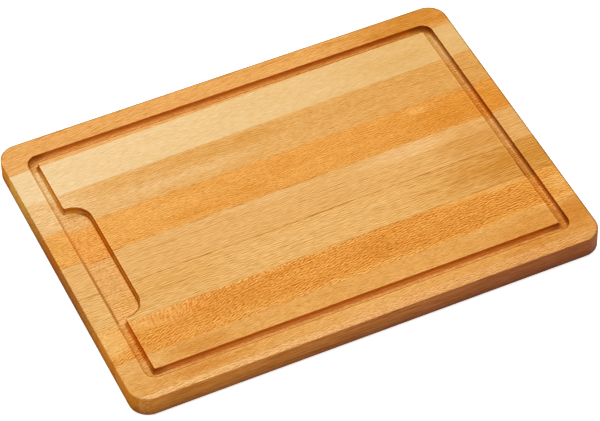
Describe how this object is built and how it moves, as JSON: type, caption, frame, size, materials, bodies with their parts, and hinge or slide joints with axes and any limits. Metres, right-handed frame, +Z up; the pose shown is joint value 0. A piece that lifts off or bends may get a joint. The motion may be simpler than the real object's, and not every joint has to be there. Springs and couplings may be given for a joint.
{
  "type": "carving board",
  "caption": "Rectangular edge-glued beech carving board with rounded corners, a juice groove all round the top and a wider juice well at one end.",
  "frame": {"origin": "middle of the flat underside, where the board rests", "axes": "+X along the staves, away from the juice well; +Y to the back; +Z up, out of the carving surface"},
  "size_m": [0.38, 0.28, 0.018],
  "materials": {
    "beech_1": "planed, sanded and oiled",
    "beech_2": "planed, sanded and oiled",
    "beech_3": "planed, sanded and oiled",
    "beech_4": "planed, sanded and oiled",
    "beech_5": "planed, sanded and oiled",
    "beech_6": "planed, sanded and oiled",
    "beech_7": "planed, sanded and oiled",
    "beech_8": "planed, sanded and oiled",
    "beech_9": "planed, sanded and oiled",
    "glue": "cured wood glue, sanded flush"
  },
  "bodies": {
    "root": {"stave_1": "beech_1", "stave_2": "beech_2", "stave_3": "beech_3", "stave_4": "beech_4", "stave_5": "beech_5", "stave_6": "beech_6", "stave_7": "beech_7", "stave_8": "beech_8", "stave_9": "beech_9", "glue_line_1": "glue", "glue_line_2": "glue", "glue_line_3": "glue", "glue_line_4": "glue", "glue_line_5": "glue", "glue_line_6": "glue", "glue_line_7": "glue", "glue_line_8": "glue"}
  },
  "joints": []
}
